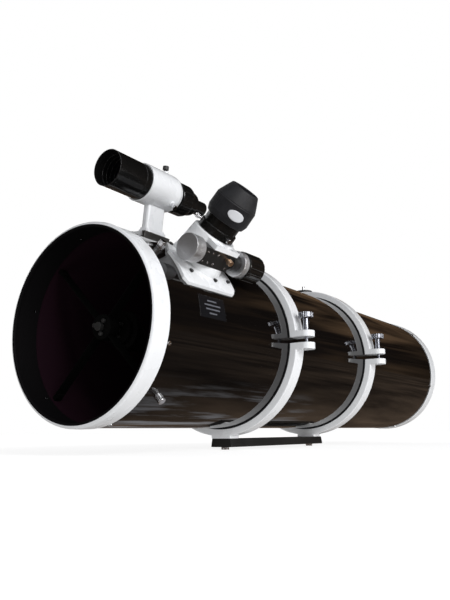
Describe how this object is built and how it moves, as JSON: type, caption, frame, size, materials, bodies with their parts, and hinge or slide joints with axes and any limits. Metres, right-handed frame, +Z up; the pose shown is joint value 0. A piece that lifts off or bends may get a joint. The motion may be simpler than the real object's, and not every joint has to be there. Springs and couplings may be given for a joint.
{
  "type": "newtonian reflector telescope tube",
  "caption": "Newtonian reflector tube in hinged rings on a dovetail bar, with a dual-speed focuser, wide-field eyepiece and straight-through finder.",
  "frame": {"origin": "middle of the dovetail bar's underside", "axes": "+X along the tube from the open front end to the mirror end, +Z up from the bar to the tube, -Y the side that carries the focuser and clamps"},
  "size_m": [1.147, 0.386, 0.4596],
  "materials": {
    "gloss_black": "gloss black enamel with fine flake",
    "white_paint": "semi-gloss white enamel on cast metal",
    "black_anodised": "satin black anodised",
    "satin_black": "satin black",
    "matte_black": "matte black, anti-reflection",
    "gloss_knob": "gloss black, fluted",
    "matte_plastic": "moulded black plastic",
    "label": "black foil plate",
    "felt": "black felt",
    "rubber": "matte black rubber",
    "silver": "brushed and finely knurled",
    "clamp_metal": "plated, knurled",
    "chrome": "polished plating",
    "steel": "bright turned steel",
    "dark_steel": "black oxide",
    "brass": "turned",
    "ptfe": "white low-friction plastic",
    "glass": "coated lens",
    "mirror": "aluminised"
  },
  "bodies": {
    "mount": {"dovetail_bar": "black_anodised", "bar_screws": "chrome", "front_ring_lower": "white_paint", "rear_ring_lower": "white_paint", "ring_felts_lower": "felt", "ring_hinge_pins": "steel"},
    "front_ring_top": {"front_ring_upper": "white_paint", "front_felt_upper": "felt"},
    "rear_ring_top": {"rear_ring_upper": "white_paint", "rear_felt_upper": "felt", "piggyback_stud": "steel"},
    "front_clamp": {"front_clamp_screw": "clamp_metal"},
    "rear_clamp": {"rear_clamp_screw": "clamp_metal"},
    "piggyback_nut": {"piggyback_disc": "black_anodised"},
    "tube": {"main_tube": "gloss_black", "front_end_ring": "white_paint", "rear_end_ring": "white_paint", "end_ring_screws": "chrome", "label_plate": "label", "spider_hub": "matte_black", "spider_vanes": "matte_black", "spider_knobs": "chrome", "secondary_screws": "steel", "focuser_housing": "white_paint", "focuser_screws": "dark_steel", "guide_pads": "ptfe", "axle_bracket": "black_anodised", "bracket_screws": "chrome", "finder_shoe": "black_anodised", "cell_springs": "steel", "collimation_knobs": "matte_plastic", "cell_lock_screws": "chrome"},
    "secondary": {"secondary_holder": "matte_black", "secondary_mirror": "mirror"},
    "cell": {"mirror_cell": "matte_black", "primary_mirror": "mirror", "mirror_clips": "matte_black"},
    "fine_knob": {"fine_focus_knob": "gloss_knob"},
    "axle": {"focus_axle": "steel", "left_focus_knob": "silver", "right_focus_knob": "silver"},
    "drawtube": {"drawtube": "black_anodised", "eyepiece_adapter": "black_anodised", "compression_ring": "brass"},
    "tension": {"tension_screw": "chrome"},
    "adapter_screw_near": {"adapter_screw_near": "chrome"},
    "adapter_screw_front": {"adapter_screw_front": "chrome"},
    "eyepiece": {"eyepiece_barrel": "chrome", "eyepiece_lenses": "glass", "eyecup": "rubber"},
    "shoe_lock": {"shoe_screw": "chrome"},
    "finder_bracket": {"finder_bracket": "white_paint"},
    "finder_gimbal": {"finder_o_ring": "rubber"},
    "finder": {"finder_tube": "satin_black", "finder_objective": "glass"},
    "finder_dew": {"finder_dew_shield": "satin_black"},
    "finder_ocular": {"finder_eyepiece": "satin_black"},
    "finder_top_screw": {"finder_screw_top": "dark_steel"},
    "finder_side_screw": {"finder_screw_side": "dark_steel"},
    "finder_spring": {"finder_plunger": "chrome"}
  },
  "joints": [
    {"name": "front_ring_open", "type": "hinge", "parent": "mount", "child": "front_ring_top", "pos_m": [-0.1626, 0.168, 0.1782], "axis": [-1, 0, 0], "range_deg": [0, 100]},
    {"name": "rear_ring_open", "type": "hinge", "parent": "mount", "child": "rear_ring_top", "pos_m": [0.1546, 0.168, 0.1782], "axis": [-1, 0, 0], "range_deg": [0, 100]},
    {"name": "front_clamp_lift", "type": "slide", "parent": "front_ring_top", "child": "front_clamp", "axis": [0, 0, 1], "range_m": [0, 0.016]},
    {"name": "rear_clamp_lift", "type": "slide", "parent": "rear_ring_top", "child": "rear_clamp", "axis": [0, 0, 1], "range_m": [0, 0.016]},
    {"name": "piggyback_nut_turn", "type": "hinge", "parent": "rear_ring_top", "child": "piggyback_nut", "pos_m": [0.1546, 0, 0.3402], "axis": [0, 0, 1], "range_deg": [0, 720]},
    {"name": "tube_turn", "type": "hinge", "parent": "mount", "child": "tube", "pos_m": [-0.004, 0, 0.1782], "axis": [1, 0, 0], "continuous": true},
    {"name": "secondary_turn", "type": "hinge", "parent": "tube", "child": "secondary", "pos_m": [-0.38, 0, 0.1782], "axis": [1, 0, 0], "range_deg": [-30, 30]},
    {"name": "mirror_tilt", "type": "hinge", "parent": "tube", "child": "cell", "pos_m": [0.595, 0, 0.1782], "axis": [0, 1, 0], "range_deg": [-0.8, 0.8], "deforming": ["cell_springs"]},
    {"name": "fine_focus_turn", "type": "hinge", "parent": "tube", "child": "fine_knob", "pos_m": [-0.305, -0.14566, 0.27861], "axis": [1, 0, 0], "range_deg": [0, 5013.38]},
    {"name": "axle_turn", "type": "hinge", "parent": "tube", "child": "axle", "pos_m": [-0.38, -0.14566, 0.27861], "axis": [1, 0, 0], "range_deg": [0, 501.35]},
    {"name": "focus_slide", "type": "slide", "parent": "tube", "child": "drawtube", "axis": [0, -0.7071, 0.7071], "range_m": [0, 0.035]},
    {"name": "tension_turn", "type": "hinge", "parent": "tube", "child": "tension", "pos_m": [-0.372, -0.15698, 0.27295], "axis": [0, -0.7071, -0.7071], "range_deg": [-360, 360]},
    {"name": "near_screw_turn", "type": "hinge", "parent": "drawtube", "child": "adapter_screw_near", "pos_m": [-0.38822, -0.16758, 0.29912], "axis": [-0.2419, -0.6861, -0.6861], "range_deg": [-720, 0]},
    {"name": "front_screw_turn", "type": "hinge", "parent": "drawtube", "child": "adapter_screw_front", "pos_m": [-0.40093, -0.1253, 0.3414], "axis": [-0.6157, 0.5572, 0.5572], "range_deg": [-720, 0]},
    {"name": "eyepiece_pull", "type": "slide", "parent": "drawtube", "child": "eyepiece", "axis": [0, -0.7071, 0.7071], "range_m": [0, 0.04]},
    {"name": "shoe_lock_turn", "type": "hinge", "parent": "tube", "child": "shoe_lock", "pos_m": [-0.402, 0.00563, 0.33313], "axis": [0, 0.9921, 0.1253], "range_deg": [-720, 0]},
    {"name": "finder_bracket_slide", "type": "slide", "parent": "tube", "child": "finder_bracket", "axis": [-1, 0, 0], "range_m": [0, 0.085]},
    {"name": "finder_pan", "type": "hinge", "parent": "finder_bracket", "child": "finder_gimbal", "pos_m": [-0.425, -0.02933, 0.41036], "axis": [0, -0.1253, 0.9921], "range_deg": [-1.5, 1.5]},
    {"name": "finder_tilt", "type": "hinge", "parent": "finder_gimbal", "child": "finder", "pos_m": [-0.425, -0.02933, 0.41036], "axis": [0, 0.9921, 0.1253], "range_deg": [-1.5, 1.5]},
    {"name": "finder_top_screw_travel", "type": "slide", "parent": "finder_bracket", "child": "finder_top_screw", "axis": [0, -0.1253, 0.9921], "range_m": [-0.0014, 0.0014]},
    {"name": "finder_side_screw_travel", "type": "slide", "parent": "finder_bracket", "child": "finder_side_screw", "axis": [0, 0.9921, 0.1253], "range_m": [-0.0014, 0.0014]},
    {"name": "finder_spring_pull", "type": "slide", "parent": "finder_bracket", "child": "finder_spring", "axis": [0, -0.6129, -0.7902], "range_m": [0, 0.003]},
    {"name": "finder_objective_turn", "type": "hinge", "parent": "finder", "child": "finder_dew", "pos_m": [-0.466, -0.02933, 0.41036], "axis": [1, 0, 0], "range_deg": [-720, 720]},
    {"name": "finder_eyepiece_focus", "type": "slide", "parent": "finder", "child": "finder_ocular", "axis": [1, 0, 0], "range_m": [0, 0.003]}
  ],
  "couplings": [
    {"joint": "axle_turn", "follows": "fine_focus_turn", "ratio": 0.1},
    {"joint": "focus_slide", "follows": "fine_focus_turn", "m_per_rad": 0.0004},
    {"joint": "finder_top_screw_travel", "follows": "finder_tilt", "m_per_rad": -0.0525},
    {"joint": "finder_side_screw_travel", "follows": "finder_pan", "m_per_rad": 0.0525}
  ]
}
